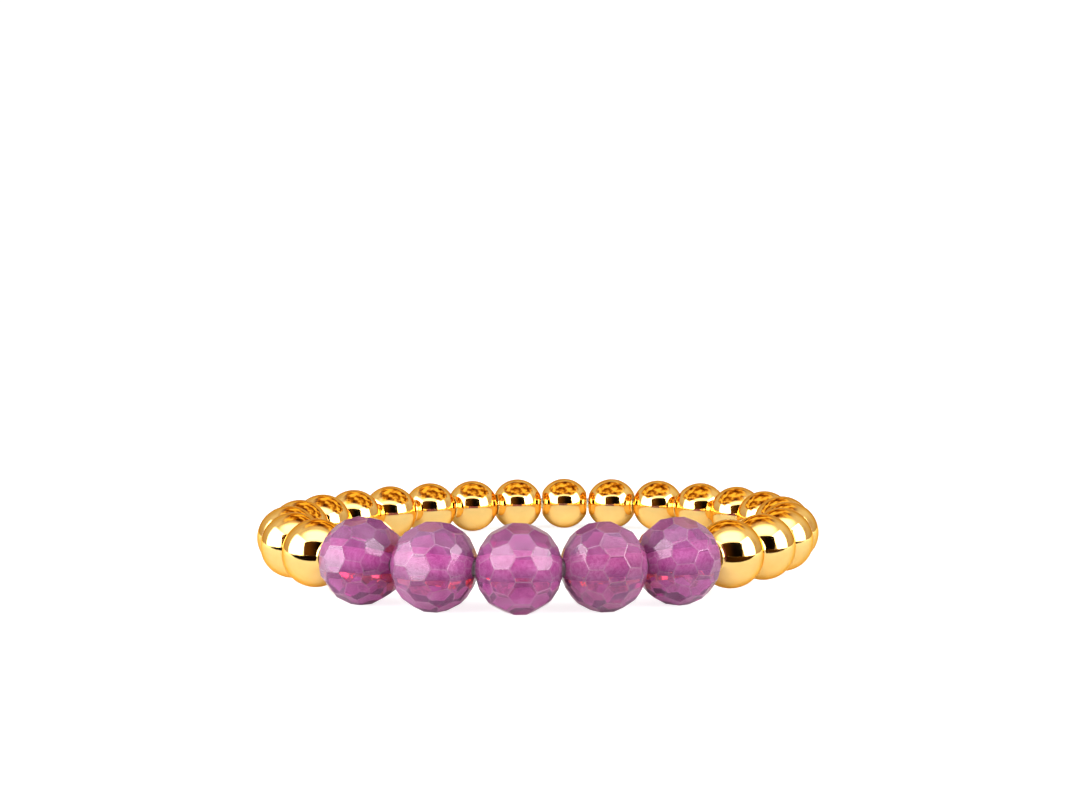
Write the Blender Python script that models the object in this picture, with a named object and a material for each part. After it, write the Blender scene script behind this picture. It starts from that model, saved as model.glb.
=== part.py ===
# A stretch ring of round beads: five faceted stones in front, polished gold balls round the
# rest, all drilled and threaded on one loop of elastic cord whose knot hides in a bead.
# The ring lies on its side, its finger hole upright: X to the right, Y to the back, Z up.
# Metres throughout. It rests on Z = 0, with the middle of its outline over the origin.

import math

import bmesh
import bpy
from mathutils import Matrix, Vector

# Driving dimensions

GEM_COUNT = 5
GOLD_COUNT = 21

GEM_DIAMETER = 0.00300          # twice the distance from the middle to a girdle facet
GEM_LENGTH = 0.00272            # along the drill hole, between the flat ends
GEM_FACETS_ROUND = 11           # girdle facets; one lies flat underneath
GEM_BAND_ANGLE = 27.0           # degrees from the girdle to the next row of facets
GEM_SHOULDER_ANGLE = 54.0       # degrees from the girdle to the row beside the flat ends

GOLD_DIAMETER = 0.00250
GOLD_SIDES = 16                 # round the drill hole
GOLD_BANDS = 8                  # from one end of the drill hole to the other

CORD_DIAMETER = 0.00050
GEM_BORE_CLEARANCE = 0.00006    # between the cord and the stone, all round
GOLD_BORE_CLEARANCE = 0.00025   # between the cord and the gold, all round
KNOT_CLEARANCE = 0.00015        # between the knot and the bead that hides it
BEAD_CLEARANCE = 0.00002        # between two beads that the elastic draws together

# A relaxed elastic loop is a little out of round. Each row gives a swelling as a share of
# the loop's mean radius, how many times it comes in one turn, and its direction in degrees
# from straight ahead, with +X to the right at 90.
LOOP_SWELLINGS = (
    {"share": 0.060, "times": 2, "direction": -42.3},
    {"share": 0.008, "times": 3, "direction": 32.3},
)
MIDDLE_GEM_DIRECTION = -5.2     # degrees from straight ahead

GEM_COLOUR = (0.36, 0.07, 0.24, 1.0)
GOLD_COLOUR = (0.90, 0.62, 0.25, 1.0)
CORD_COLOUR = (0.85, 0.85, 0.82, 1.0)

# Sizes that follow from those above

GEM_BORE = CORD_DIAMETER + 2 * GEM_BORE_CLEARANCE
GOLD_BORE = CORD_DIAMETER + 2 * GOLD_BORE_CLEARANCE
KNOT_DIAMETER = GOLD_BORE - 2 * KNOT_CLEARANCE

# Fineness of the meshes and of the searches

BORE_SIDES = 16
CORD_BEVEL_RESOLUTION = 2
CORD_STRAIGHT_SHARE = 0.8       # of a bead's length, along which its cord runs straight
LOOP_ROUNDS = 5                 # times the loop is closed again, as the beads turn and reseat
HALVINGS = 50


def clear_scene():
    for item in list(bpy.data.objects):
        bpy.data.objects.remove(item, do_unlink=True)


def make_material(name, colour, roughness, metallic):
    made = bpy.data.materials.new(name)
    made.use_nodes = True
    shader = made.node_tree.nodes["Principled BSDF"]
    shader.inputs["Base Color"].default_value = colour
    shader.inputs["Roughness"].default_value = roughness
    shader.inputs["Metallic"].default_value = metallic
    return made


# The faceted stone: a block cut plane by plane, as a lapidary does, then drilled along X

def gem_facets():
    """Each facet's outward direction, and its distance from the middle in stone radii."""
    step = math.tau / GEM_FACETS_ROUND
    band, shoulder = math.radians(GEM_BAND_ANGLE), math.radians(GEM_SHOULDER_ANGLE)
    for number in range(GEM_FACETS_ROUND):
        for tilt, turn in (
            (0.0, number * step),
            (band, (number + 0.5) * step),
            (-band, (number + 0.5) * step),
            (shoulder, number * step),
            (-shoulder, number * step),
        ):
            round_hole = Vector((0.0, math.sin(turn), -math.cos(turn))) * math.cos(tilt)
            yield round_hole + Vector((math.sin(tilt), 0.0, 0.0)), 1.0
    for side in (-1.0, 1.0):
        yield Vector((side, 0.0, 0.0)), GEM_LENGTH / GEM_DIAMETER


def cut_gem():
    """The stone at a radius of 1, because Blender's own tolerances suit large shapes."""
    stone = bmesh.new()
    bmesh.ops.create_cube(stone, size=3.0)
    for outward, distance in gem_facets():
        cut = bmesh.ops.bisect_plane(
            stone,
            geom=stone.verts[:] + stone.edges[:] + stone.faces[:],
            dist=1e-5,
            plane_co=outward * distance,
            plane_no=outward,
            clear_outer=True,
        )
        rim = [item for item in cut["geom_cut"] if isinstance(item, bmesh.types.BMEdge)]
        bmesh.ops.contextual_create(stone, geom=rim)
    bmesh.ops.remove_doubles(stone, verts=stone.verts, dist=1e-4)
    bmesh.ops.recalc_face_normals(stone, faces=stone.faces)
    mesh = bpy.data.meshes.new("gem_blank")
    stone.to_mesh(mesh)
    stone.free()
    return mesh


def drill(blank, bore_radius):
    """The same mesh with a hole along X."""
    body = bpy.data.objects.new("blank", blank)
    bit_mesh = bpy.data.meshes.new("drill_bit")
    bit = bmesh.new()
    bmesh.ops.create_cone(
        bit,
        cap_ends=True,
        segments=BORE_SIDES,
        radius1=bore_radius,
        radius2=bore_radius,
        depth=4.0,
        matrix=Matrix.Rotation(math.pi / 2, 4, "Y"),
    )
    bit.to_mesh(bit_mesh)
    bit.free()
    cutter = bpy.data.objects.new("drill_bit", bit_mesh)
    for item in (body, cutter):
        bpy.context.scene.collection.objects.link(item)
    cut = body.modifiers.new("Bore", "BOOLEAN")
    cut.operation = "DIFFERENCE"
    cut.solver = "EXACT"
    cut.object = cutter
    evaluated = body.evaluated_get(bpy.context.evaluated_depsgraph_get())
    drilled = bpy.data.meshes.new_from_object(evaluated)
    bpy.data.objects.remove(body)
    bpy.data.objects.remove(cutter)
    return drilled


def gem_mesh():
    radius = GEM_DIAMETER / 2
    mesh = drill(cut_gem(), GEM_BORE / 2 / radius)
    mesh.transform(Matrix.Scale(radius, 4))
    mesh.name = "gem_bead"
    mesh.shade_flat()
    return mesh


# The gold ball: half its section, from one mouth of the drill hole to the other, spun round X

def gold_mesh():
    radius, bore_radius = GOLD_DIAMETER / 2, GOLD_BORE / 2
    mouth = math.asin(bore_radius / radius)
    ball = bmesh.new()
    corners = []
    for number in range(GOLD_BANDS + 1):
        along = mouth + (math.pi - 2 * mouth) * number / GOLD_BANDS
        place = Vector((radius * math.cos(along), 0.0, -radius * math.sin(along)))
        corners.append(ball.verts.new(place))
    section = [ball.edges.new(pair) for pair in zip(corners, corners[1:] + corners[:1])]
    bmesh.ops.spin(
        ball,
        geom=corners + section,
        axis=(1.0, 0.0, 0.0),
        cent=(0.0, 0.0, 0.0),
        angle=math.tau,
        steps=GOLD_SIDES,
        use_merge=True,
    )
    bmesh.ops.remove_doubles(ball, verts=ball.verts, dist=radius / 1000)
    bmesh.ops.recalc_face_normals(ball, faces=ball.faces)
    mesh = bpy.data.meshes.new("gold_bead")
    ball.to_mesh(mesh)
    ball.free()
    mesh.shade_smooth()
    mesh.set_sharp_from_angle(angle=math.radians(50))
    return mesh


# The loop: beads threaded one after another on a closed curve, as close as their ends allow

def loop_point(direction, mean_radius):
    swelling = sum(
        row["share"] * math.cos(row["times"] * (direction - math.radians(row["direction"])))
        for row in LOOP_SWELLINGS
    )
    radius = mean_radius * (1 + swelling)
    return Vector((radius * math.sin(direction), -radius * math.cos(direction), 0.0))


def halve(low, high, too_low):
    """The value between low and high at which too_low stops being true."""
    for _ in range(HALVINGS):
        middle = (low + high) / 2
        if too_low(middle):
            low = middle
        else:
            high = middle
    return (low + high) / 2


def walk_loop(spacings, mean_radius):
    """Directions of the beads from the middle stone on, and of the end of the last spacing."""
    directions = [math.radians(MIDDLE_GEM_DIRECTION)]
    for spacing in spacings:
        here = loop_point(directions[-1], mean_radius)
        directions.append(
            halve(
                directions[-1],
                directions[-1] + math.pi / 2,
                lambda way: (loop_point(way, mean_radius) - here).length < spacing,
            )
        )
    return directions


def close_loop(spacings):
    """Middles of the beads on the one loop that these spacings fill."""
    guess = sum(spacings) / math.tau
    full_turn = math.radians(MIDDLE_GEM_DIRECTION) + math.tau
    mean_radius = halve(
        0.7 * guess,
        1.3 * guess,
        lambda radius: walk_loop(spacings, radius)[-1] > full_turn,
    )
    return [loop_point(way, mean_radius) for way in walk_loop(spacings, mean_radius)[:-1]]


def reach(mesh, angle):
    """How far a bead reaches past its middle, in a direction this far off its drill hole."""
    return max(
        abs(corner.co.x) * math.cos(angle)
        + math.hypot(corner.co.y, corner.co.z) * math.sin(angle)
        for corner in mesh.vertices
    )


def bore_direction(middles, number):
    onward = middles[(number + 1) % len(middles)] - middles[number - 1]
    return onward.normalized()


def thread_beads(meshes):
    """Middles of the beads, each drawn up against the next."""
    spacings = [2 * reach(mesh, 0.0) for mesh in meshes]
    for _ in range(LOOP_ROUNDS):
        middles = close_loop(spacings)
        spacings = []
        for number, mesh in enumerate(meshes):
            after = (number + 1) % len(meshes)
            gap_way = middles[after] - middles[number]
            spacings.append(
                reach(mesh, gap_way.angle(bore_direction(middles, number)))
                + reach(meshes[after], gap_way.angle(bore_direction(middles, after)))
                + BEAD_CLEARANCE
            )
    return close_loop(spacings)


def settle(middles, is_gem):
    """Lays the ring down: stones rest on a facet, and it slopes to the rearmost gold ball."""
    gem_height, gold_height = GEM_DIAMETER / 2, GOLD_DIAMETER / 2
    slope_start = max(place.y for place, gem in zip(middles, is_gem) if gem)
    slope_end = max(place.y for place in middles)
    for place in middles:
        share = max(0.0, (place.y - slope_start) / (slope_end - slope_start))
        place.z = gem_height + (gold_height - gem_height) * share


def upright_frame(middle, along):
    """Places a bead whose drill hole is its X, with its Z as near to upright as that allows."""
    across = Vector((0.0, 0.0, 1.0)).cross(along).normalized()
    up = along.cross(across)
    turn = Matrix((along, across, up)).transposed()
    return Matrix.LocRotScale(middle, turn, None)


# The elastic cord: straight through each bead, bending from one to the next

def make_cord(middles, directions, half_lengths, knot_bead):
    curve = bpy.data.curves.new("elastic_cord", "CURVE")
    curve.dimensions = "3D"
    curve.twist_mode = "Z_UP"
    curve.bevel_depth = CORD_DIAMETER / 2
    curve.bevel_resolution = CORD_BEVEL_RESOLUTION
    places = []
    for number, (middle, along, half) in enumerate(zip(middles, directions, half_lengths)):
        straight = along * half * CORD_STRAIGHT_SHARE
        places.append((middle - straight, 1.0))
        if number == knot_bead:
            places.append((middle, KNOT_DIAMETER / CORD_DIAMETER))
        places.append((middle + straight, 1.0))
    route = curve.splines.new("POLY")
    route.points.add(len(places) - 1)
    for point, (place, thickness) in zip(route.points, places):
        point.co = (*place, 1.0)
        point.radius = thickness
    route.use_cyclic_u = True
    cord = bpy.data.objects.new("elastic_cord", curve)
    bpy.context.scene.collection.objects.link(cord)
    return cord


def bead_names():
    """Stones count from the left, and gold balls from the right-hand stone round the back."""
    right_gems = GEM_COUNT - GEM_COUNT // 2
    gems = [f"gem_bead_{number + 1}" for number in range(GEM_COUNT)]
    golds = [f"gold_bead_{number + 1:02d}" for number in range(GOLD_COUNT)]
    return gems[-right_gems:] + golds + gems[:-right_gems]


def main():
    clear_scene()
    shapes = {"gem": gem_mesh(), "gold": gold_mesh()}
    shapes["gem"].materials.append(make_material("faceted_stone", GEM_COLOUR, 0.12, 0.0))
    shapes["gold"].materials.append(make_material("polished_gold", GOLD_COLOUR, 0.08, 1.0))

    names = bead_names()
    is_gem = [name.startswith("gem") for name in names]
    meshes = [shapes["gem"] if gem else shapes["gold"] for gem in is_gem]
    middles = thread_beads(meshes)
    settle(middles, is_gem)

    directions = []
    for number, gem in enumerate(is_gem):
        along = bore_direction(middles, number)
        if gem:
            along.z = 0.0
        directions.append(along.normalized())

    ring = bpy.data.objects.new("stretch_ring", None)
    bpy.context.scene.collection.objects.link(ring)
    pieces = []
    for name, mesh, middle, along in zip(names, meshes, middles, directions):
        bead = bpy.data.objects.new(name, mesh)
        bead.matrix_world = upright_frame(middle, along)
        bpy.context.scene.collection.objects.link(bead)
        pieces.append(bead)

    half_lengths = [reach(mesh, 0.0) for mesh in meshes]
    knot_bead = max(range(len(middles)), key=lambda number: middles[number].y)
    cord = make_cord(middles, directions, half_lengths, knot_bead)
    cord.data.materials.append(make_material("elastic", CORD_COLOUR, 0.35, 0.0))

    corners = [
        bead.matrix_world @ corner.co for bead in pieces for corner in bead.data.vertices
    ]
    for axis in (0, 1):
        ends = [corner[axis] for corner in corners]
        ring.location[axis] = -(min(ends) + max(ends)) / 2
    for piece in pieces + [cord]:
        piece.parent = ring


main()
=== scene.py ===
# Looks for a beaded stretch ring: five faceted plum stones in front, polished gold balls round
# the rest, on one loop of clear elastic. Metres, X to the right, Y to the back, Z up.

import math
import random

import bmesh
import bpy
from mathutils import Matrix, Vector


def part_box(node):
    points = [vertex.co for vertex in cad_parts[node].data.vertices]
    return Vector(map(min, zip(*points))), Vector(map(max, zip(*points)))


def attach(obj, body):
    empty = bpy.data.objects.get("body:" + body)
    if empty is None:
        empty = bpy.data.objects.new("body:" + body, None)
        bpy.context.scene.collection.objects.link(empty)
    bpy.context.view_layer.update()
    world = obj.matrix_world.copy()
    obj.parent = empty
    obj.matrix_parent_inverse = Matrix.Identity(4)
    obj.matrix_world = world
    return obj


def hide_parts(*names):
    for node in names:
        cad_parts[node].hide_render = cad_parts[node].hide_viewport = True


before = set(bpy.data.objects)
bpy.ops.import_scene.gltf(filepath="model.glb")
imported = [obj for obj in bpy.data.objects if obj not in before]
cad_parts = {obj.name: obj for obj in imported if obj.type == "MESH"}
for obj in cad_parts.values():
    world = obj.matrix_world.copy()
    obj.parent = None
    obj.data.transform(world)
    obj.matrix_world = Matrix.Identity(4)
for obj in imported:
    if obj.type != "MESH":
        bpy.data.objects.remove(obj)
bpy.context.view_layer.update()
print("frame loaded:", len(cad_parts), "nodes")


# small helpers for node trees and objects

def addNode(tree, kind, place, settings=None, values=None):
    node = tree.nodes.new(kind)
    node.location = place
    for name, value in (settings or {}).items():
        setattr(node, name, value)
    for name, value in (values or {}).items():
        node.inputs[name].default_value = value
    return node


def newTree(name, inputs):
    tree = bpy.data.node_groups.new(name, "GeometryNodeTree")
    tree.interface.new_socket("Geometry", in_out="INPUT", socket_type="NodeSocketGeometry")
    tree.interface.new_socket("Geometry", in_out="OUTPUT", socket_type="NodeSocketGeometry")
    for label, kind in inputs:
        tree.interface.new_socket(label, in_out="INPUT", socket_type=kind)
    return tree


def plainMesh(name, source, tree, values):
    nodesModifier = source.modifiers.new(tree.name, "NODES")
    nodesModifier.node_group = tree
    for item in tree.interface.items_tree:  # set by identifier, before the first evaluation
        if item.in_out == "INPUT" and item.name in values:
            nodesModifier[item.identifier] = values[item.name]
    evaluated = source.evaluated_get(bpy.context.evaluated_depsgraph_get())
    mesh = bpy.data.meshes.new_from_object(evaluated)
    bpy.data.objects.remove(source)
    return showMesh(name, mesh)


def showMesh(name, mesh):
    mesh.name = name
    shown = bpy.data.objects.new(name, mesh)
    bpy.context.scene.collection.objects.link(shown)
    return shown


def showOnlyTo(shown, *kinds):
    for kind in ("camera", "diffuse", "glossy", "transmission", "shadow"):
        setattr(shown, f"visible_{kind}", kind in kinds)


def faceOutwards(mesh):
    work = bmesh.new()
    work.from_mesh(mesh)
    bmesh.ops.remove_doubles(work, verts=work.verts, dist=1e-7)
    bmesh.ops.recalc_face_normals(work, faces=work.faces)
    work.to_mesh(mesh)
    work.free()


def emptyMaterial(name):
    made = bpy.data.materials.new(name)
    made.use_nodes = True
    made.node_tree.nodes.clear()
    return made, made.node_tree


def newMaterial(name):
    made, tree = emptyMaterial(name)
    finish = addNode(tree, "ShaderNodeOutputMaterial", (900, 0))
    shader = addNode(tree, "ShaderNodeBsdfPrincipled", (600, 0))
    place = addNode(tree, "ShaderNodeTexCoord", (-1200, 0))
    tree.links.new(shader.outputs["BSDF"], finish.inputs["Surface"])
    return made, shader, place


def newGlow(name):
    made, tree = emptyMaterial(name)
    finish = addNode(tree, "ShaderNodeOutputMaterial", (1400, 0))
    glow = addNode(tree, "ShaderNodeEmission", (900, 0))
    place = addNode(tree, "ShaderNodeTexCoord", (-1100, 0))
    tree.links.new(glow.outputs["Emission"], finish.inputs["Surface"])
    return made, glow, place


def fadeOut(tree, glow, share):  # the glow where the share is 1, and nothing where it is 0
    finish = tree.nodes["Material Output"]
    clear = addNode(tree, "ShaderNodeBsdfTransparent", (900, -200))
    rim = addNode(tree, "ShaderNodeMixShader", (1150, 0))
    tree.links.new(share, rim.inputs["Fac"])
    tree.links.new(clear.outputs["BSDF"], rim.inputs[1])
    tree.links.new(glow.outputs["Emission"], rim.inputs[2])
    tree.links.new(rim.outputs["Shader"], finish.inputs["Surface"])


def fadeColours(tree, place, stops):
    ramp = addNode(tree, "ShaderNodeValToRGB", place)
    while len(ramp.color_ramp.elements) < len(stops):
        ramp.color_ramp.elements.new(0.5)
    for element, (position, colour) in zip(ramp.color_ramp.elements, stops):
        element.position = position
        element.color = (*colour, 1.0)
    return ramp


def mixColours(tree, place, share, first, second):
    mix = addNode(tree, "ShaderNodeMix", place, {"data_type": "RGBA"})
    tree.links.new(share, mix.inputs[0])
    tree.links.new(first, mix.inputs[6])  # 6, 7 and 2 are the node's colour sockets
    mix.inputs[7].default_value = (*second, 1.0)
    return mix.outputs[2]


# plum stone: clear inside with a faint cloud

stoneFinish = {
    "deepPlum": (0.56, 0.11, 0.43),
    "rosePlum": (0.96, 0.40, 0.84),
    "cloudSize": 0.0011,
    "throughColours": (  # what light keeps on its way through each stone
        (0.59, 0.085, 0.44),
        (0.60, 0.090, 0.43),
        (0.60, 0.100, 0.41),
        (0.51, 0.090, 0.24),
        (0.55, 0.080, 0.40),
    ),
    "throughDensity": 810.0,  # per metre
    "clearness": 0.83,
    "bending": 1.544,  # index of refraction of quartz
    "surfaceShine": (0.66, 0.66, 0.66),
    "polish": 0.006,
    "handled": 0.020,
    "smearsPerMetre": 2600.0,
    "lapMarksPerMetre": 5200.0,
    "lapMarkStrength": 0.10,
    "lapMarkDepth": 0.00002,
    "edgeHighlightRose": (1.0, 0.88, 0.98),  # the edges between the facets, paler: a painted highlight
    "edgeHighlightShare": 0.42,
    "edgeRoughness": 0.09,
}


def makePlumStone(number):
    made, shader, place = newMaterial(f"plum stone {number + 1}")
    tree = made.node_tree
    join = tree.links.new
    cloud = addNode(tree, "ShaderNodeTexNoise", (-900, 200), values={
        "Scale": 1.0 / stoneFinish["cloudSize"],
        "Detail": 8.0,
        "Roughness": 0.72,
        "Distortion": 0.8,
    })
    tint = fadeColours(tree, (-600, 200), (
        (0.32, stoneFinish["deepPlum"]),
        (0.68, stoneFinish["rosePlum"]),
    ))
    smear = addNode(tree, "ShaderNodeTexNoise", (-900, -150), values={
        "Scale": stoneFinish["smearsPerMetre"],
        "Detail": 5.0,
        "Roughness": 0.7,
    })
    polish = addNode(tree, "ShaderNodeMapRange", (-600, -150), values={
        "From Min": 0.40,
        "From Max": 0.75,
        "To Min": stoneFinish["polish"],
        "To Max": stoneFinish["handled"],
    })
    lap = addNode(tree, "ShaderNodeTexNoise", (-900, -500), values={
        "Scale": stoneFinish["lapMarksPerMetre"],
        "Detail": 2.0,
    })
    lapMarks = addNode(tree, "ShaderNodeBump", (0, -500), values={
        "Strength": stoneFinish["lapMarkStrength"],
        "Distance": stoneFinish["lapMarkDepth"],
    })
    # the eased edges between the facets are rougher, and paler as a painted highlight
    edge = addNode(tree, "ShaderNodeAttribute", (-900, 500), {"attribute_name": "facetEdge"})
    highlightShare = addNode(tree, "ShaderNodeMath", (-600, 500), {"operation": "MULTIPLY"})
    highlightShare.inputs[1].default_value = stoneFinish["edgeHighlightShare"]
    highlightedTint = mixColours(
        tree, (0, 300), highlightShare.outputs["Value"], tint.outputs["Color"], stoneFinish["edgeHighlightRose"]
    )
    rough = addNode(tree, "ShaderNodeMath", (0, -100), {"operation": "MULTIPLY_ADD"})
    rough.inputs[1].default_value = stoneFinish["edgeRoughness"]
    body = addNode(tree, "ShaderNodeVolumeAbsorption", (600, -700), values={
        "Color": (*stoneFinish["throughColours"][number], 1.0),
        "Density": stoneFinish["throughDensity"],
    })
    for noise in (cloud, smear, lap):
        join(place.outputs["Object"], noise.inputs["Vector"])
    join(cloud.outputs["Fac"], tint.inputs["Fac"])
    join(smear.outputs["Fac"], polish.inputs["Value"])
    join(lap.outputs["Fac"], lapMarks.inputs["Height"])
    join(edge.outputs["Fac"], highlightShare.inputs[0])
    join(edge.outputs["Fac"], rough.inputs[0])
    join(polish.outputs["Result"], rough.inputs[2])
    join(highlightedTint, shader.inputs["Base Color"])
    join(rough.outputs["Value"], shader.inputs["Roughness"])
    join(lapMarks.outputs["Normal"], shader.inputs["Normal"])
    join(body.outputs["Volume"], tree.nodes["Material Output"].inputs["Volume"])
    shader.inputs["Transmission Weight"].default_value = stoneFinish["clearness"]
    shader.inputs["IOR"].default_value = stoneFinish["bending"]
    shader.inputs["Specular Tint"].default_value = (*stoneFinish["surfaceShine"], 1.0)
    return made


# the drilled wall of a stone, ground to a pale rose powder

wallFinish = {
    "powder": (1.0, 0.84, 0.96),
    "stain": (0.78, 0.42, 0.66),
    "grainSize": 0.00012,
    "smoothest": 0.55,
    "roughest": 0.85,
    "pitStrength": 0.4,
    "pitDepth": 0.00001,
}


def makeGroundWall():
    made, shader, place = newMaterial("ground stone")
    tree = made.node_tree
    join = tree.links.new
    grain = addNode(tree, "ShaderNodeTexNoise", (-900, 0), values={
        "Scale": 1.0 / wallFinish["grainSize"],
        "Detail": 4.0,
        "Roughness": 0.7,
    })
    tint = fadeColours(tree, (-600, 200), (
        (0.35, wallFinish["stain"]),
        (0.60, wallFinish["powder"]),
    ))
    matt = addNode(tree, "ShaderNodeMapRange", (-600, -100), values={
        "To Min": wallFinish["smoothest"],
        "To Max": wallFinish["roughest"],
    })
    pits = addNode(tree, "ShaderNodeBump", (0, -300), values={
        "Strength": wallFinish["pitStrength"],
        "Distance": wallFinish["pitDepth"],
    })
    join(place.outputs["Object"], grain.inputs["Vector"])
    join(grain.outputs["Fac"], tint.inputs["Fac"])
    join(grain.outputs["Fac"], matt.inputs["Value"])
    join(grain.outputs["Fac"], pits.inputs["Height"])
    join(tint.outputs["Color"], shader.inputs["Base Color"])
    join(matt.outputs["Result"], shader.inputs["Roughness"])
    join(pits.outputs["Normal"], shader.inputs["Normal"])
    return made


# gold: a bright polished plate with the faintest haze from handling

goldFinish = {
    "brightGold": (1.0, 0.695, 0.255),
    "warmGold": (0.985, 0.645, 0.205),
    "edgeGold": (0.96, 0.58, 0.20),
    "hazeSize": 0.0006,
    "shine": 0.055,
    "handled": 0.095,
    "drilled": 0.30,  # roughness added on the wall of the hole
    "ripplesPerMetre": 9000.0,
    "rippleStrength": 0.08,
    "rippleDepth": 0.00001,
}


def makePolishedGold():
    made, shader, place = newMaterial("polished gold")
    tree = made.node_tree
    join = tree.links.new
    haze = addNode(tree, "ShaderNodeTexNoise", (-900, 200), values={
        "Scale": 1.0 / goldFinish["hazeSize"],
        "Detail": 5.0,
        "Roughness": 0.65,
    })
    tint = fadeColours(tree, (-600, 300), (
        (0.30, goldFinish["warmGold"]),
        (0.70, goldFinish["brightGold"]),
    ))
    smear = addNode(tree, "ShaderNodeMapRange", (-600, 50), values={
        "From Min": 0.35,
        "From Max": 0.75,
        "To Min": goldFinish["shine"],
        "To Max": goldFinish["handled"],
    })
    wall = addNode(tree, "ShaderNodeAttribute", (-900, -150), {"attribute_name": "drillWall"})
    dullWall = addNode(tree, "ShaderNodeMath", (-600, -200), {"operation": "MULTIPLY"})
    dullWall.inputs[1].default_value = goldFinish["drilled"]
    shine = addNode(tree, "ShaderNodeMath", (-300, -50), {"operation": "ADD"})
    grain = addNode(tree, "ShaderNodeTexNoise", (-900, -450), values={
        "Scale": goldFinish["ripplesPerMetre"],
        "Detail": 3.0,
    })
    ripple = addNode(tree, "ShaderNodeBump", (0, -350), values={
        "Strength": goldFinish["rippleStrength"],
        "Distance": goldFinish["rippleDepth"],
    })
    join(place.outputs["Object"], haze.inputs["Vector"])
    join(place.outputs["Object"], grain.inputs["Vector"])
    join(haze.outputs["Fac"], tint.inputs["Fac"])
    join(haze.outputs["Fac"], smear.inputs["Value"])
    join(wall.outputs["Fac"], dullWall.inputs[0])
    join(smear.outputs["Result"], shine.inputs[0])
    join(dullWall.outputs["Value"], shine.inputs[1])
    join(tint.outputs["Color"], shader.inputs["Base Color"])
    join(shine.outputs["Value"], shader.inputs["Roughness"])
    join(grain.outputs["Fac"], ripple.inputs["Height"])
    join(ripple.outputs["Normal"], shader.inputs["Normal"])
    shader.inputs["Metallic"].default_value = 1.0
    shader.inputs["Specular Tint"].default_value = (*goldFinish["edgeGold"], 1.0)
    return made


# elastic: clear and slightly milky, with fine drawn streaks

elasticFinish = {
    "milky": (0.97, 0.94, 0.96),
    "glassy": (0.92, 0.88, 0.92),
    "streakSize": 0.00012,
    "clearness": 0.92,
    "bending": 1.5,  # index of refraction
    "smoothest": 0.08,
    "roughest": 0.25,
    "ridgeStrength": 0.2,
    "ridgeDepth": 0.00001,
}


def makeClearElastic():
    made, shader, place = newMaterial("clear elastic")
    tree = made.node_tree
    join = tree.links.new
    streaks = addNode(tree, "ShaderNodeTexNoise", (-900, 100), values={
        "Scale": 1.0 / elasticFinish["streakSize"],
        "Detail": 3.0,
    })
    tint = fadeColours(tree, (-600, 200), (
        (0.35, elasticFinish["glassy"]),
        (0.65, elasticFinish["milky"]),
    ))
    satin = addNode(tree, "ShaderNodeMapRange", (-600, -100), values={
        "To Min": elasticFinish["smoothest"],
        "To Max": elasticFinish["roughest"],
    })
    ridges = addNode(tree, "ShaderNodeBump", (0, -300), values={
        "Strength": elasticFinish["ridgeStrength"],
        "Distance": elasticFinish["ridgeDepth"],
    })
    join(place.outputs["Object"], streaks.inputs["Vector"])
    join(streaks.outputs["Fac"], tint.inputs["Fac"])
    join(streaks.outputs["Fac"], satin.inputs["Value"])
    join(streaks.outputs["Fac"], ridges.inputs["Height"])
    join(tint.outputs["Color"], shader.inputs["Base Color"])
    join(satin.outputs["Result"], shader.inputs["Roughness"])
    join(ridges.outputs["Normal"], shader.inputs["Normal"])
    shader.inputs["Transmission Weight"].default_value = elasticFinish["clearness"]
    shader.inputs["IOR"].default_value = elasticFinish["bending"]
    return made


# where the beads sit, read from the frame

beadOrder = {
    "stones": [f"gem_bead_{number}" for number in range(1, 6)],
    "golds": [f"gold_bead_{number:02d}" for number in range(1, 22)],
    "stoneRadius": 0.0015,
}


def readSeats():
    names = beadOrder["stones"] + beadOrder["golds"]
    middles = []
    for name in names:
        low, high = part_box(name)
        middle = (low + high) / 2
        if name in beadOrder["stones"]:
            middle.z = low.z + beadOrder["stoneRadius"]  # it rests on a facet, not on a point
        middles.append(middle)
    seats = {}
    for number, name in enumerate(names):
        onward = middles[(number + 1) % len(names)] - middles[number - 1]
        if name in beadOrder["stones"]:
            onward.z = 0.0
        seats[name] = (middles[number], onward.normalized())
    return seats


# the stones, cut plane by plane, their edges eased, and drilled through

stoneCut = {
    "facetsRound": 11,
    "bandAngle": 27.0,  # degrees from the middle row of facets, for this row and the next two
    "shoulderAngle": 54.0,
    "mouthAngle": 73.0,
    "endDistance": 0.001374,  # from the middle to the end that faces a gold ball
    "halfSeam": 0.000012,  # half the space between two stones
    "weld": 0.02,  # share of the radius: corners closer than this become one
    "boreRadius": 0.00031,
    "boreSides": 40,
    "edgeEase": 0.000024,
    "edgeSteps": 3,
    "wander": 0.9,  # degrees that a hand-held facet is off
    "depth": 0.990,  # share of the radius
    "depthWander": 0.004,
    "seed": 11,
    # for each stone: degrees the front facet leans up, and slides along the drill hole
    "lean": (-1.1, 0.4, 0.0, 2.6, 2.4),
    "slide": (0.0, 0.0, 7.0, -1.5, 0.0),
}


def endPlanes(number, seats):
    names = beadOrder["stones"] + beadOrder["golds"]
    middle, along = seats[names[number]]
    across = Vector((0.0, 0.0, 1.0)).cross(along).normalized()
    for side in (-1, 1):
        other = names[(number + side) % len(names)]
        if other in beadOrder["stones"]:  # two stones meet along the plane halfway
            gap = seats[other][0] - middle
            way = gap.normalized()
            depth = gap.length / 2 - stoneCut["halfSeam"]
            yield Vector((way.dot(along), way.dot(across), way.z)), depth / beadOrder["stoneRadius"]
        else:
            yield Vector((side, 0.0, 0.0)), stoneCut["endDistance"] / beadOrder["stoneRadius"]


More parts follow.
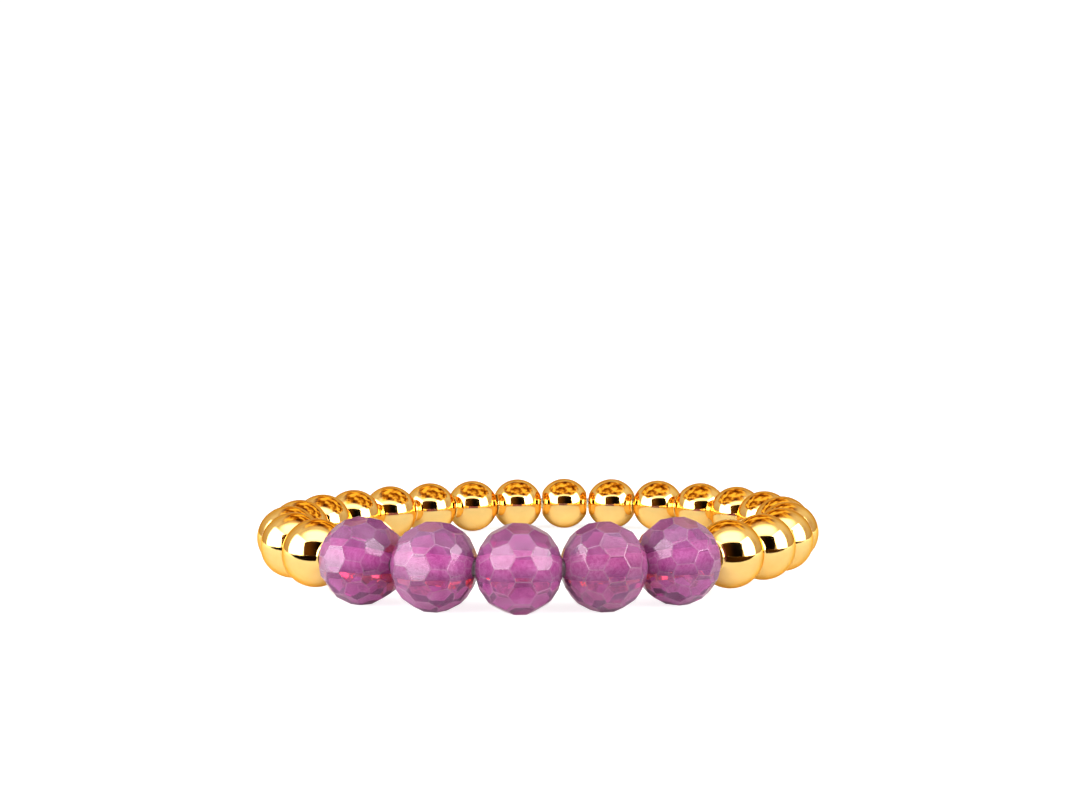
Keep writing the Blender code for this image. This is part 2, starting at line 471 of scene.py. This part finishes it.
def facetPlanes(lean, slide, chance):
    step = math.tau / stoneCut["facetsRound"]
    rows = (
        (0.0, 0.0),
        (stoneCut["bandAngle"], 0.5),
        (-stoneCut["bandAngle"], 0.5),
        (stoneCut["shoulderAngle"], 0.0),
        (-stoneCut["shoulderAngle"], 0.0),
        (stoneCut["mouthAngle"], 0.5),
        (-stoneCut["mouthAngle"], 0.5),
    )
    for number in range(stoneCut["facetsRound"]):
        for tilt, shift in rows:
            turn = (number + shift) * step
            if number == 0 and tilt == 0.0:
                yield Vector((0.0, 0.0, -1.0)), 1.0  # the facet it rests on stays level
                continue
            front = max(0.0, -math.sin(turn))
            tilt += chance.gauss(0.0, stoneCut["wander"]) + slide * front * math.cos(math.radians(tilt))
            turn += math.radians(chance.gauss(0.0, stoneCut["wander"]) + lean)
            tilt = math.radians(tilt)
            depth = stoneCut["depth"] - abs(chance.gauss(0.0, stoneCut["depthWander"]))
            yield Vector((
                math.sin(tilt),
                math.sin(turn) * math.cos(tilt),
                -math.cos(turn) * math.cos(tilt),
            )), depth


def cutStone(number, seats):
    chance = random.Random(stoneCut["seed"] + number)
    work = bmesh.new()  # at a radius of 1, which suits Blender's own tolerances
    bmesh.ops.create_cube(work, size=3.0)  # larger than the stone all round
    facets = [*facetPlanes(stoneCut["lean"][number], stoneCut["slide"][number], chance)]
    for outward, depth in facets + [*endPlanes(number, seats)]:
        cut = bmesh.ops.bisect_plane(
            work,
            geom=work.verts[:] + work.edges[:] + work.faces[:],
            dist=1e-5,
            plane_co=outward * depth,
            plane_no=outward,
            clear_outer=True,
        )
        rim = [item for item in cut["geom_cut"] if isinstance(item, bmesh.types.BMEdge)]
        bmesh.ops.contextual_create(work, geom=rim)
    bmesh.ops.remove_doubles(work, verts=work.verts, dist=stoneCut["weld"])
    bmesh.ops.recalc_face_normals(work, faces=work.faces)
    edgeMark = work.faces.layers.float.new("facetEdge")
    eased = bmesh.ops.bevel(
        work,
        geom=work.verts[:] + work.edges[:],
        offset=stoneCut["edgeEase"] / beadOrder["stoneRadius"],
        segments=stoneCut["edgeSteps"],
        profile=0.5,
        affect="EDGES",
        clamp_overlap=True,
    )
    for face in eased["faces"]:
        face[edgeMark] = 1.0
    blank = bpy.data.meshes.new("stone blank")
    work.to_mesh(blank)
    work.free()
    return blank


def drillBit():
    bore = stoneCut["boreRadius"] / beadOrder["stoneRadius"]
    work = bmesh.new()
    bmesh.ops.create_cone(
        work,
        cap_ends=True,
        segments=stoneCut["boreSides"],
        radius1=bore,
        radius2=bore,
        depth=4.0,  # longer than the stone
        matrix=Matrix.Rotation(math.pi / 2, 4, "Y"),
    )
    mesh = bpy.data.meshes.new("drill bit")
    work.to_mesh(mesh)
    work.free()
    return mesh


def drillStone(blank):
    body = showMesh("stone blank", blank)
    bit = showMesh("drill bit", drillBit())
    bore = body.modifiers.new("Bore", "BOOLEAN")
    bore.operation = "DIFFERENCE"
    bore.solver = "EXACT"
    bore.object = bit
    drilled = bpy.data.meshes.new_from_object(
        body.evaluated_get(bpy.context.evaluated_depsgraph_get())
    )
    bpy.data.objects.remove(body)
    bpy.data.objects.remove(bit)
    return drilled


def markDrillWall(mesh):
    reach = stoneCut["boreRadius"] / beadOrder["stoneRadius"] + 1e-3
    for face in mesh.polygons:
        away = max(math.hypot(*mesh.vertices[corner].co[1:]) for corner in face.vertices)
        face.material_index = 1 if away < reach else 0
        face.use_smooth = away < reach


def makeStone(number, seats, wallMaterial):
    name = beadOrder["stones"][number]
    middle, along = seats[name]
    mesh = drillStone(cutStone(number, seats))
    mesh.materials.clear()
    mesh.materials.append(makePlumStone(number))
    mesh.materials.append(wallMaterial)
    markDrillWall(mesh)
    across = Vector((0.0, 0.0, 1.0)).cross(along).normalized()
    turn = Matrix((along, across, along.cross(across))).transposed()
    mesh.transform(Matrix.LocRotScale(middle, turn, Vector((1, 1, 1)) * beadOrder["stoneRadius"]))
    stone = showMesh(f"plumStone{number + 1}", mesh)
    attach(stone, "root")
    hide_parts(name)


# the gold balls: half the section swept round the drill hole, one on each seat of the loop

goldBall = {  # named as the tree's own inputs
    "Bead Diameter": 0.00250,
    "Hole Diameter": 0.00100,
    "Lip Radius": 0.00005,
    "Sides": 60,
    "Rings": 40,
}


def goldSeats(seats):
    names = beadOrder["golds"]
    mesh = bpy.data.meshes.new("gold seats")
    mesh.from_pydata([seats[name][0] for name in names], [], [])
    along = mesh.attributes.new("boreDirection", "FLOAT_VECTOR", "POINT")
    for number, name in enumerate(names):
        along.data[number].vector = seats[name][1]
    return showMesh("gold seats", mesh)


def makeGoldBallTree():
    tree = newTree("gold balls", (
        ("Bead Diameter", "NodeSocketFloat"),
        ("Hole Diameter", "NodeSocketFloat"),
        ("Lip Radius", "NodeSocketFloat"),
        ("Sides", "NodeSocketInt"),
        ("Rings", "NodeSocketInt"),
        ("Material", "NodeSocketMaterial"),
    ))
    join = tree.links.new
    given = addNode(tree, "NodeGroupInput", (-1800, 0))
    finish = addNode(tree, "NodeGroupOutput", (1800, 0))

    def calculate(operation, place, first, second=None):
        node = addNode(tree, "ShaderNodeMath", place, {"operation": operation})
        for socket, value in zip(node.inputs, (first, second)):
            if isinstance(value, (int, float)):
                socket.default_value = value
            elif value is not None:
                join(value, socket)
        return node.outputs["Value"]

    ballRadius = calculate("MULTIPLY", (-1500, 300), given.outputs["Bead Diameter"], 0.5)
    holeRadius = calculate("MULTIPLY", (-1500, 100), given.outputs["Hole Diameter"], 0.5)
    mouthShare = calculate("DIVIDE", (-1300, 100), holeRadius, ballRadius)
    mouth = calculate("ARCSINE", (-1100, 100), mouthShare)
    start = calculate("SUBTRACT", (-900, 200), mouth, math.pi / 2)
    sweep = calculate("MULTIPLY", (-700, 200), start, -2.0)
    arc = addNode(tree, "GeometryNodeCurveArc", (-500, 300), {"mode": "RADIUS"})
    join(given.outputs["Rings"], arc.inputs["Resolution"])
    join(ballRadius, arc.inputs["Radius"])
    join(start, arc.inputs["Start Angle"])
    join(sweep, arc.inputs["Sweep Angle"])
    closed = addNode(tree, "GeometryNodeSetSplineCyclic", (-300, 300), values={"Cyclic": True})
    join(arc.outputs["Curve"], closed.inputs["Geometry"])
    ends = addNode(tree, "GeometryNodeCurveEndpointSelection", (-500, -100))
    lip = calculate("MULTIPLY", (-300, 0), ends.outputs["Selection"], given.outputs["Lip Radius"])
    eased = addNode(tree, "GeometryNodeFilletCurve", (-100, 300), {"mode": "POLY"}, {"Count": 4})
    join(closed.outputs["Geometry"], eased.inputs["Curve"])
    join(lip, eased.inputs["Radius"])
    towardsHole = calculate("MULTIPLY", (-300, -250), holeRadius, -1.0)
    inwards = addNode(tree, "ShaderNodeCombineXYZ", (-100, -50))
    join(towardsHole, inwards.inputs["X"])
    shifted = addNode(tree, "GeometryNodeSetPosition", (100, 300))
    join(eased.outputs["Curve"], shifted.inputs["Geometry"])
    join(inwards.outputs["Vector"], shifted.inputs["Offset"])
    hole = addNode(tree, "GeometryNodeCurvePrimitiveCircle", (100, 0))
    join(given.outputs["Sides"], hole.inputs["Resolution"])
    join(holeRadius, hole.inputs["Radius"])
    ball = addNode(tree, "GeometryNodeCurveToMesh", (300, 200))
    join(hole.outputs["Curve"], ball.inputs["Curve"])
    join(shifted.outputs["Geometry"], ball.inputs["Profile Curve"])

    place = addNode(tree, "GeometryNodeInputPosition", (300, -200))
    parts = addNode(tree, "ShaderNodeSeparateXYZ", (500, -200))
    join(place.outputs["Position"], parts.inputs["Vector"])
    away = addNode(tree, "ShaderNodeVectorMath", (500, -350), {"operation": "LENGTH"})
    flat = addNode(tree, "ShaderNodeCombineXYZ", (400, -450))
    join(parts.outputs["X"], flat.inputs["X"])
    join(parts.outputs["Y"], flat.inputs["Y"])
    join(flat.outputs["Vector"], away.inputs[0])
    wallEdge = calculate("MULTIPLY", (500, -550), holeRadius, 1.02)  # just past the wall
    isWall = calculate("LESS_THAN", (700, -400), away.outputs["Value"], wallEdge)
    marked = addNode(tree, "GeometryNodeStoreNamedAttribute", (700, 200), {
        "data_type": "FLOAT",
        "domain": "POINT",
    }, {"Name": "drillWall"})
    join(ball.outputs["Mesh"], marked.inputs["Geometry"])
    join(isWall, marked.inputs["Value"])

    along = addNode(tree, "GeometryNodeInputNamedAttribute", (700, -700), {
        "data_type": "FLOAT_VECTOR",
    }, {"Name": "boreDirection"})
    turn = addNode(tree, "FunctionNodeAlignRotationToVector", (900, -500), {"axis": "Z"})
    join(along.outputs["Attribute"], turn.inputs["Vector"])
    strung = addNode(tree, "GeometryNodeInstanceOnPoints", (1000, 100))
    join(given.outputs["Geometry"], strung.inputs["Points"])
    join(marked.outputs["Geometry"], strung.inputs["Instance"])
    join(turn.outputs["Rotation"], strung.inputs["Rotation"])
    smooth = addNode(tree, "GeometryNodeSetShadeSmooth", (1200, 100))
    join(strung.outputs["Instances"], smooth.inputs["Geometry"])
    real = addNode(tree, "GeometryNodeRealizeInstances", (1400, 100))
    join(smooth.outputs["Geometry"], real.inputs["Geometry"])
    coated = addNode(tree, "GeometryNodeSetMaterial", (1600, 100))
    join(real.outputs["Geometry"], coated.inputs["Geometry"])
    join(given.outputs["Material"], coated.inputs["Material"])
    join(coated.outputs["Geometry"], finish.inputs["Geometry"])
    return tree


def makeGoldBalls(seats, material):
    balls = plainMesh(
        "goldBalls", goldSeats(seats), makeGoldBallTree(), {**goldBall, "Material": material}
    )
    faceOutwards(balls.data)
    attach(balls, "root")
    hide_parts(*beadOrder["golds"])


# the elastic: one closed loop, threaded from bead to bead, thick at the knot in the rear ball

elasticLoop = {
    "inputs": {"Cord Radius": 0.00025, "Sides": 20},  # named as the tree's own inputs
    "straightHalf": {"gem": 0.00110, "gold": 0.00090},  # along each drill hole
    "knotBead": "gold_bead_11",
    "knotSwelling": 1.4,
    "knotHalf": 0.00035,
    "straightParts": 8,
    "bendParts": 6,
}


def elasticRoute(seats):
    names = beadOrder["stones"] + beadOrder["golds"]
    route = []  # places along the loop, and how thick the cord is there
    for number, name in enumerate(names):
        here, way = seats[name]
        half = way * elasticLoop["straightHalf"][name.split("_")[0]]
        nextName = names[(number + 1) % len(names)]
        there, onward = seats[nextName]
        nextHalf = onward * elasticLoop["straightHalf"][nextName.split("_")[0]]
        for part in range(elasticLoop["straightParts"]):
            share = 2 * part / elasticLoop["straightParts"] - 1
            thick = 1.0
            if name == elasticLoop["knotBead"]:
                away = min(1.0, abs(share) * half.length / elasticLoop["knotHalf"])
                thick += (elasticLoop["knotSwelling"] - 1.0) * (1 - away ** 2)
            route.append((here + half * share, thick))
        leave, enter = here + half, there - nextHalf
        pull = (enter - leave).length
        for part in range(elasticLoop["bendParts"]):
            share = part / elasticLoop["bendParts"]
            route.append((
                leave * (2 * share ** 3 - 3 * share ** 2 + 1)
                + way * pull * (share ** 3 - 2 * share ** 2 + share)
                + enter * (3 * share ** 2 - 2 * share ** 3)
                + onward * pull * (share ** 3 - share ** 2),
                1.0,
            ))
    curve = bpy.data.curves.new("elastic route", "CURVE")
    curve.dimensions = "3D"
    curve.twist_mode = "Z_UP"
    line = curve.splines.new("POLY")
    line.points.add(len(route) - 1)
    for point, (place, thick) in zip(line.points, route):
        point.co = (*place, 1.0)
        point.radius = thick
    line.use_cyclic_u = True
    loop = bpy.data.objects.new("elastic route", curve)
    bpy.context.scene.collection.objects.link(loop)
    return loop


def makeElasticTree():
    tree = newTree("elastic loop", (
        ("Cord Radius", "NodeSocketFloat"),
        ("Sides", "NodeSocketInt"),
        ("Material", "NodeSocketMaterial"),
    ))
    join = tree.links.new
    given = addNode(tree, "NodeGroupInput", (-900, 0))
    finish = addNode(tree, "NodeGroupOutput", (900, 0))
    section = addNode(tree, "GeometryNodeCurvePrimitiveCircle", (-600, -200))
    thickness = addNode(tree, "GeometryNodeInputRadius", (-600, -350))
    cord = addNode(tree, "GeometryNodeCurveToMesh", (-300, 0))
    smooth = addNode(tree, "GeometryNodeSetShadeSmooth", (0, 0))
    real = addNode(tree, "GeometryNodeRealizeInstances", (300, 0))
    coated = addNode(tree, "GeometryNodeSetMaterial", (600, 0))
    join(given.outputs["Sides"], section.inputs["Resolution"])
    join(given.outputs["Cord Radius"], section.inputs["Radius"])
    join(given.outputs["Geometry"], cord.inputs["Curve"])
    join(section.outputs["Curve"], cord.inputs["Profile Curve"])
    join(thickness.outputs["Radius"], cord.inputs["Scale"])
    join(cord.outputs["Mesh"], smooth.inputs["Geometry"])
    join(smooth.outputs["Geometry"], real.inputs["Geometry"])
    join(real.outputs["Geometry"], coated.inputs["Geometry"])
    join(given.outputs["Material"], coated.inputs["Material"])
    join(coated.outputs["Geometry"], finish.inputs["Geometry"])
    return tree


def makeElastic(seats, material):
    values = {**elasticLoop["inputs"], "Material": material}
    elastic = plainMesh("elasticLoop", elasticRoute(seats), makeElasticTree(), values)
    faceOutwards(elastic.data)
    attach(elastic, "root")
    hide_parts("elastic_cord")


# the pale ground: a floor that curves up all round, so that no horizon shows. The camera, the
# polish and the clear stones each have a floor of their own, a hair apart.

groundForm = {
    "flatRadius": 0.130,
    "bendRadius": 0.100,
    "bendParts": 16,
    "rimHeight": 0.450,
    "sides": 128,
    "toothPerMetre": 300.0,
    "lightNear": 0.011,  # each sheet has one light up to here, and another from the next on
    "lightFar": 0.042,
    "shown": {"level": -0.00001, "paper": (0.42, 0.42, 0.415), "shade": (0.38, 0.38, 0.375),
              "light": (0.84, 0.84)},
    # the mirrored floor glows less near the ring: a painted shade round it, seen in the polish
    "mirrored": {"level": -0.00003, "paper": (0.70, 0.70, 0.69), "shade": (0.64, 0.64, 0.63),
                 "light": (0.16, 0.62)},
    "throughLevel": -0.00005,
    "throughReach": 0.020,
    "throughLight": (  # share of that reach from the middle of the ring, and the light there
        (0.00, (0.98, 0.97, 0.98)),
        (0.335, (0.98, 0.97, 0.98)),
        # a painted shadow of the ring, dark in a band under the ring and just inside it
        (0.395, (0.30, 0.21, 0.28)),
        (0.58, (0.22, 0.16, 0.20)),
        (0.85, (0.85, 0.84, 0.85)),
        (1.00, (0.96, 0.95, 0.96)),
    ),
}


def makePaper(name, sheet):
    made, shader, place = newMaterial(name)
    tree = made.node_tree
    join = tree.links.new
    tooth = addNode(tree, "ShaderNodeTexNoise", (-600, 0), values={
        "Scale": groundForm["toothPerMetre"],
        "Detail": 6.0,
    })
    tint = fadeColours(tree, (-300, 0), (
        (0.30, sheet["shade"]),
        (0.70, sheet["paper"]),
    ))
    away = addNode(tree, "ShaderNodeVectorMath", (-600, -300), {"operation": "LENGTH"})
    light = addNode(tree, "ShaderNodeMapRange", (-300, -300), values={
        "From Min": groundForm["lightNear"],
        "From Max": groundForm["lightFar"],
        "To Min": sheet["light"][0],
        "To Max": sheet["light"][1],
    })
    join(place.outputs["Object"], tooth.inputs["Vector"])
    join(place.outputs["Object"], away.inputs[0])
    join(tooth.outputs["Fac"], tint.inputs["Fac"])
    join(away.outputs["Value"], light.inputs["Value"])
    join(tint.outputs["Color"], shader.inputs["Base Color"])
    join(light.outputs["Result"], shader.inputs["Emission Strength"])  # the paper glows by itself: evenly on the shown floor, weaker near the ring on the mirrored one as a painted shade
    shader.inputs["Emission Color"].default_value = (1.0, 1.0, 1.0, 1.0)
    shader.inputs["Roughness"].default_value = 0.9
    shader.inputs["Specular IOR Level"].default_value = 0.1
    return made


# a glow with the ring's shadow painted into it, as a dark band round the ring
def makeShadedFloor():
    made, glow, place = newGlow("floor in the shade of the ring")
    tree = made.node_tree
    away = addNode(tree, "ShaderNodeVectorMath", (-700, 0), {"operation": "LENGTH"})
    share = addNode(tree, "ShaderNodeMath", (-400, 0), {"operation": "DIVIDE"})
    share.inputs[1].default_value = groundForm["throughReach"]
    tint = fadeColours(tree, (-100, 0), groundForm["throughLight"])
    tree.links.new(place.outputs["Object"], away.inputs[0])
    tree.links.new(away.outputs["Value"], share.inputs[0])
    tree.links.new(share.outputs["Value"], tint.inputs["Fac"])
    tree.links.new(tint.outputs["Color"], glow.inputs["Color"])
    return made


def spinSection(name, section, level, material, *kinds):
    work = bmesh.new()
    corners = [work.verts.new((away, 0.0, up + level)) for away, up in section]
    edges = [work.edges.new(pair) for pair in zip(corners, corners[1:])]
    bmesh.ops.spin(
        work,
        geom=corners + edges,
        axis=(0.0, 0.0, 1.0),
        cent=(0.0, 0.0, 0.0),
        angle=math.tau,
        steps=groundForm["sides"],
        use_merge=True,
    )
    bmesh.ops.remove_doubles(work, verts=work.verts, dist=1e-6)
    bmesh.ops.recalc_face_normals(work, faces=work.faces)
    mesh = bpy.data.meshes.new(name)
    work.to_mesh(mesh)
    work.free()
    mesh.shade_smooth()
    mesh.materials.append(material)
    shown = showMesh(name, mesh)
    showOnlyTo(shown, *kinds)


# a backdrop of broken golden light all round, well away from the ring, which shows only
# through what is clear. It fades out above along a ragged edge.

goldBackdrop = {
    "radius": 0.030,
    "low": 0.0005,
    "high": 0.0180,
    "raggedFrom": 0.0120,
    "raggedTo": 0.0086,
    "ragged": 0.0060,
    "patchSize": 0.00075,
    "tones": (
        (0.38, (0.30, 0.17, 0.12)),
        (0.45, (0.46, 0.34, 0.22)),
        (0.50, (2.60, 3.60, 1.80)),
        (0.55, (0.46, 0.34, 0.22)),
        (0.62, (0.22, 0.12, 0.09)),
    ),
}


def makeBackdropGlow():
    made, glow, place = newGlow("broken gold light")
    tree = made.node_tree
    join = tree.links.new
    patches = addNode(tree, "ShaderNodeTexNoise", (-700, 200), values={
        "Scale": 1.0 / goldBackdrop["patchSize"],
        "Detail": 2.0,
        "Distortion": 1.2,
    })
    tint = fadeColours(tree, (-300, 200), goldBackdrop["tones"])
    sides = addNode(tree, "ShaderNodeSeparateXYZ", (-700, -200))
    uneven = addNode(tree, "ShaderNodeMath", (-300, -200), {"operation": "MULTIPLY_ADD"})
    uneven.inputs[1].default_value = goldBackdrop["ragged"]
    share = addNode(tree, "ShaderNodeMapRange", (0, -200), values={
        "From Min": goldBackdrop["raggedFrom"] + goldBackdrop["ragged"] / 2,
        "From Max": goldBackdrop["raggedTo"] + goldBackdrop["ragged"] / 2,
    })
    join(place.outputs["Object"], patches.inputs["Vector"])
    join(patches.outputs["Fac"], tint.inputs["Fac"])
    join(tint.outputs["Color"], glow.inputs["Color"])
    join(place.outputs["Object"], sides.inputs["Vector"])
    join(patches.outputs["Fac"], uneven.inputs[0])
    join(sides.outputs["Z"], uneven.inputs[2])
    join(uneven.outputs["Value"], share.inputs["Value"])
    fadeOut(tree, glow, share.outputs["Result"])
    return made


def makeGoldBackdrop():
    radius = goldBackdrop["radius"]
    section = [(radius, goldBackdrop["low"]), (radius, goldBackdrop["high"])]
    spinSection("goldBackdrop", section, 0.0, makeBackdropGlow(), "transmission")


def makePaleGround():
    flat, bend = groundForm["flatRadius"], groundForm["bendRadius"]
    level = [(0.0, 0.0), (flat * 0.5, 0.0), (flat, 0.0)]
    rise = [level[-1]]
    for number in range(1, groundForm["bendParts"] + 1):
        angle = math.pi / 2 * number / groundForm["bendParts"]
        rise.append((flat + bend * math.sin(angle), bend * (1 - math.cos(angle))))
    rise.append((flat + bend, groundForm["rimHeight"]))
    sheet, mirror = groundForm["shown"], groundForm["mirrored"]
    paper = makePaper("pale paper", sheet)
    spinSection("paleFloor", level, sheet["level"], paper, "camera", "shadow")
    spinSection("paleWall", rise, sheet["level"], paper, "camera", "transmission", "shadow")
    dimPaper = makePaper("dim paper", mirror)
    spinSection("mirroredFloor", level, mirror["level"], dimPaper, "diffuse", "glossy", "shadow")
    spinSection("shadedFloor", level, groundForm["throughLevel"], makeShadedFloor(), "transmission")


# studio: soft boxes at both sides and above, and cards that only the polish shows: dark ones as painted
# shade, a glowing amber one as a painted reflection

studio = {
    "aim": (0.0, -0.006, 0.0016),
    "boxes": (
        {"name": "leftBox", "azimuth": -66.0, "height": 22.0, "away": 0.120,
         "width": 0.165, "tall": 0.115, "glow": 8.5, "fade": 0.35},
        {"name": "rightBox", "azimuth": 65.0, "height": 22.0, "away": 0.120,
         "width": 0.102, "tall": 0.105, "glow": 8.5, "fade": 0.15},
        {"name": "frontTopBox", "azimuth": 4.0, "height": 68.0, "away": 0.160,
         "width": 0.340, "tall": 0.180, "glow": 2.9, "fade": 0.65},
    ),
    # dark cards that only the polish shows: painted shade in the reflections
    "cameraCard": {"name": "cameraCard", "azimuth": 1.0, "height": 20.0, "away": 0.092,
                   "width": 0.140, "tall": 0.094},
    "deskCard": {"name": "deskCard", "place": (0.004, -0.052, 0.00005),
                 "width": 0.150, "tall": 0.080},
    "cardBrown": (0.055, 0.020, 0.0015),
    "cardBlack": (0.002, 0.001, 0.0005),
    "brownUntil": -0.040,  # along the card, from its middle
    "blackFrom": 0.020,
    # a glowing amber card that only the polish shows: a painted warm reflection in the gold
    "amberReflectionGlow": {"name": "amberReflectionGlow", "place": (0.0, 0.0095, 0.0155),
                  "width": 0.038, "tall": 0.030, "glow": 1.0, "fade": 0.32,
                  "patchSize": 0.0065,
                  "tones": ((0.38, (0.09, 0.018, 0.001)),
                            (0.48, (0.55, 0.20, 0.012)),
                            (0.60, (1.30, 0.85, 0.16)))},
    "roomRadius": 0.600,
    "room": (  # how high up, colour there
        (0.00, (0.52, 0.41, 0.33)),
        (0.22, (0.70, 0.61, 0.52)),
        (0.55, (0.86, 0.78, 0.67)),
        (0.92, (0.88, 0.74, 0.56)),
    ),
    "roomShade": (0.62, 0.47, 0.34),
}


def makeCloth(panel):
    made, glow, place = newGlow(panel["name"] + " cloth")
    tree = made.node_tree
    join = tree.links.new
    sides = addNode(tree, "ShaderNodeSeparateXYZ", (-800, 0))
    join(place.outputs["Object"], sides.inputs["Vector"])
    shares = []
    for axis, size in (("X", panel["width"]), ("Y", panel["tall"])):
        away = addNode(tree, "ShaderNodeMath", (-600, 0), {"operation": "ABSOLUTE"})
        share = addNode(tree, "ShaderNodeMapRange", (-400, 0), {"interpolation_type": "SMOOTHSTEP"}, {
            "From Min": size / 2,
            "From Max": size / 2 * (1 - panel["fade"]) - 1e-6,
        })
        join(sides.outputs[axis], away.inputs[0])
        join(away.outputs["Value"], share.inputs["Value"])
        shares.append(share.outputs["Result"])
    both = addNode(tree, "ShaderNodeMath", (-100, 0), {"operation": "MULTIPLY"})
    join(shares[0], both.inputs[0])
    join(shares[1], both.inputs[1])
    fadeOut(tree, glow, both.outputs["Value"])
    glow.inputs["Strength"].default_value = panel["glow"]
    if "tones" in panel:
        patches = addNode(tree, "ShaderNodeTexNoise", (100, 200), values={
            "Scale": 1.0 / panel["patchSize"],
            "Detail": 3.0,
        })
        tint = fadeColours(tree, (400, 200), panel["tones"])
        join(place.outputs["Object"], patches.inputs["Vector"])
        join(patches.outputs["Fac"], tint.inputs["Fac"])
        join(tint.outputs["Color"], glow.inputs["Color"])
    return made


# the dark cards' colour, brown at one end and black at the other: painted shade in the reflections
def makeDarkCard():
    made, shader, place = newMaterial("dark card")
    tree = made.node_tree
    join = tree.links.new
    sides = addNode(tree, "ShaderNodeSeparateXYZ", (-700, 0))
    across = addNode(tree, "ShaderNodeMapRange", (-500, 0), {"interpolation_type": "SMOOTHSTEP"}, {
        "From Min": studio["brownUntil"],
        "From Max": studio["blackFrom"],
    })
    tint = fadeColours(tree, (-200, 0), ((0.0, studio["cardBrown"]), (1.0, studio["cardBlack"])))
    join(place.outputs["Object"], sides.inputs["Vector"])
    join(sides.outputs["X"], across.inputs["Value"])
    join(across.outputs["Result"], tint.inputs["Fac"])
    join(tint.outputs["Color"], shader.inputs["Base Color"])
    shader.inputs["Roughness"].default_value = 0.9
    shader.inputs["Specular IOR Level"].default_value = 0.0
    return made


def makeRoomWall():
    made, glow, place = newGlow("warm room")
    tree = made.node_tree
    join = tree.links.new
    sides = addNode(tree, "ShaderNodeSeparateXYZ", (-900, 100))
    up = addNode(tree, "ShaderNodeMath", (-700, 100), {"operation": "DIVIDE"})
    up.inputs[1].default_value = studio["roomRadius"]
    tint = fadeColours(tree, (-400, 100), studio["room"])
    patches = addNode(tree, "ShaderNodeTexNoise", (-700, -200), values={
        "Scale": 2.0 / studio["roomRadius"],
        "Detail": 2.0,
    })
    share = fadeColours(tree, (-400, -200), ((0.40, (0, 0, 0)), (0.70, (1, 1, 1))))
    uneven = mixColours(
        tree, (0, 0), share.outputs["Color"], tint.outputs["Color"], studio["roomShade"]
    )
    join(place.outputs["Object"], sides.inputs["Vector"])
    join(sides.outputs["Z"], up.inputs[0])
    join(up.outputs["Value"], tint.inputs["Fac"])
    join(place.outputs["Object"], patches.inputs["Vector"])
    join(patches.outputs["Fac"], share.inputs["Fac"])
    join(uneven, glow.inputs["Color"])
    return made


def makeRoom():
    work = bmesh.new()
    bmesh.ops.create_uvsphere(work, u_segments=48, v_segments=24, radius=studio["roomRadius"])
    mesh = bpy.data.meshes.new("warm room")
    work.to_mesh(mesh)
    work.free()
    mesh.materials.append(makeRoomWall())
    room = showMesh("warmRoom", mesh)
    showOnlyTo(room, "glossy", "transmission")  # the paper is lit by the boxes and glows by itself


def makePanel(panel, material, *kinds):
    if "place" in panel:
        place, way = Vector(panel["place"]), Vector((0.0, 0.0, 1.0))
    else:
        azimuth, height = math.radians(panel["azimuth"]), math.radians(panel["height"])
        way = Vector((
            math.sin(azimuth) * math.cos(height),
            -math.cos(azimuth) * math.cos(height),
            math.sin(height),
        ))
        place = Vector(studio["aim"]) + way * panel["away"]
    x, y = panel["width"] / 2, panel["tall"] / 2
    mesh = bpy.data.meshes.new(panel["name"])
    mesh.from_pydata([(-x, -y, 0), (x, -y, 0), (x, y, 0), (-x, y, 0)], [], [(0, 1, 2, 3)])
    mesh.materials.append(material)
    shown = showMesh(panel["name"], mesh)
    shown.location = place
    shown.rotation_euler = way.to_track_quat("Z", "Y").to_euler()
    showOnlyTo(shown, *kinds)


def makeStudio():
    makeRoom()
    for box in studio["boxes"]:
        makePanel(box, makeCloth(box), "diffuse", "glossy", "transmission", "shadow")
    dark = makeDarkCard()
    makePanel(studio["cameraCard"], dark, "glossy")
    makePanel(studio["deskCard"], dark, "glossy")
    makePanel(studio["amberReflectionGlow"], makeCloth(studio["amberReflectionGlow"]), "glossy")


# the camera, close to the ring, a little above it and nearly level

cameraView = {
    "place": (-0.000193, -0.05106, 0.008486),
    "pitchDown": 2.06,
    "lens": 40.43,
}


def makeCamera():
    lens = bpy.data.cameras.new("front camera")
    lens.sensor_width = 36.0
    lens.lens = cameraView["lens"]
    lens.clip_start = 0.001
    lens.clip_end = 10.0
    camera = bpy.data.objects.new("front camera", lens)
    camera.location = cameraView["place"]
    camera.rotation_euler = (math.radians(90.0 - cameraView["pitchDown"]), 0.0, 0.0)
    bpy.context.scene.collection.objects.link(camera)
    bpy.context.scene.camera = camera
    bpy.context.scene.view_settings.view_transform = "Standard"


seats = readSeats()
groundWall = makeGroundWall()
for stoneNumber in range(len(beadOrder["stones"])):
    makeStone(stoneNumber, seats, groundWall)
print("stones cut and drilled")

makeGoldBalls(seats, makePolishedGold())
print("gold balls strung")

makeElastic(seats, makeClearElastic())
print("elastic threaded")

makePaleGround()
makeGoldBackdrop()
makeStudio()
makeCamera()
print("studio ready")
